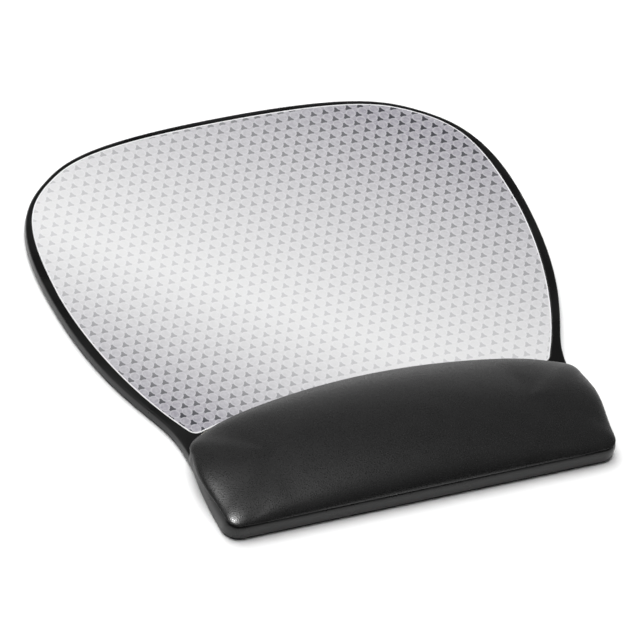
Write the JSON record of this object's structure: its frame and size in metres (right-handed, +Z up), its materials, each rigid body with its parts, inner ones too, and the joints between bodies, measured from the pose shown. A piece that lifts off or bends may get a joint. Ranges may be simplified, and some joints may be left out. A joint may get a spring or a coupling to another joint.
{
  "type": "mouse pad with wrist rest",
  "caption": "Mouse pad with rounded outline, satin patterned tracking surface and a black gel-filled leatherette wrist rest along its near edge.",
  "frame": {"origin": "centre of the footprint, on the desk (bottom centre of the bounding box)", "axes": "+Z up, +Y to the far edge of the pad, +X to the right as the user sees it; the user sits at -Y"},
  "size_m": [0.233, 0.2325, 0.0176],
  "materials": {
    "tray_polymer": "moulded soft polymer, satin, fine grain",
    "grip_rubber": "matt, fine textile imprint",
    "adhesive": "pressure-sensitive adhesive",
    "printed_paper": "printed silver-grey hexagonal dot pattern",
    "surface_film": "fine satin texture over the printed pattern",
    "foam_tape": "double-sided foam tape",
    "board": "dense greyboard",
    "gel_film": "thin soft film",
    "gel": "soft translucent gel",
    "foam": "open-cell foam",
    "cover_leather": "satin leatherette with a fine pebble grain"
  },
  "bodies": {
    "root": {"base_tray": "tray_polymer", "anti_slip_sheet": "grip_rubber", "grip_adhesive": "adhesive", "surface_adhesive": "adhesive", "printed_sheet": "printed_paper", "tracking_film": "surface_film", "rest_tape": "foam_tape", "rest_board": "board", "gel_lower_film": "gel_film", "gel_core": "gel", "gel_upper_film": "gel_film", "comfort_foam": "foam", "cover_skin": "cover_leather"}
  },
  "joints": []
}
